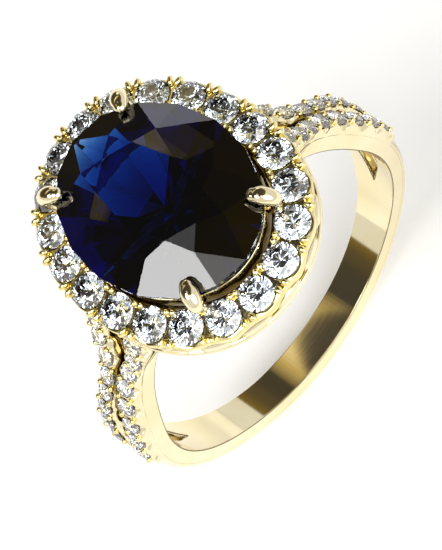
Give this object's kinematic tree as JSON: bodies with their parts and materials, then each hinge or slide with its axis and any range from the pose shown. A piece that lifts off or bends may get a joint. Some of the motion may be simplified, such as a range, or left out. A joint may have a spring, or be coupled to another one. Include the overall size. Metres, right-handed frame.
{
  "type": "engagement ring",
  "caption": "Yellow gold ring with a large oval blue sapphire in claws, a round diamond halo and a split shank whose shoulders carry double rows of small diamonds.",
  "frame": {"origin": "centre of the finger hole, halfway along it", "axes": "+Y along the finger hole, +Z from the finger up to the centre stone, +X across the finger to the right-hand shoulder"},
  "size_m": [0.0204, 0.0144, 0.0242],
  "materials": {
    "yellow_gold": null,
    "sapphire": "faceted, polished, very dark blue",
    "diamond": "faceted, polished, colourless"
  },
  "bodies": {
    "root": {"shank": "yellow_gold", "left_front_arm": "yellow_gold", "left_back_arm": "yellow_gold", "right_front_arm": "yellow_gold", "right_back_arm": "yellow_gold", "halo_frame": "yellow_gold", "halo_rail": "yellow_gold", "basket_base_ring": "yellow_gold", "basket_seat_ring": "yellow_gold", "left_front_claw": "yellow_gold", "left_back_claw": "yellow_gold", "right_front_claw": "yellow_gold", "right_back_claw": "yellow_gold", "sapphire": "sapphire", "halo_diamond_01": "diamond", "halo_diamond_02": "diamond", "halo_diamond_03": "diamond", "halo_diamond_04": "diamond", "halo_diamond_05": "diamond", "halo_diamond_06": "diamond", "halo_diamond_07": "diamond", "halo_diamond_08": "diamond", "halo_diamond_09": "diamond", "halo_diamond_10": "diamond", "halo_diamond_11": "diamond", "halo_diamond_12": "diamond", "halo_diamond_13": "diamond", "halo_diamond_14": "diamond", "halo_diamond_15": "diamond", "halo_diamond_16": "diamond", "halo_diamond_17": "diamond", "halo_diamond_18": "diamond", "halo_diamond_19": "diamond", "halo_diamond_20": "diamond", "left_front_diamonds": "diamond", "left_back_diamonds": "diamond", "right_front_diamonds": "diamond", "right_back_diamonds": "diamond"}
  },
  "joints": []
}
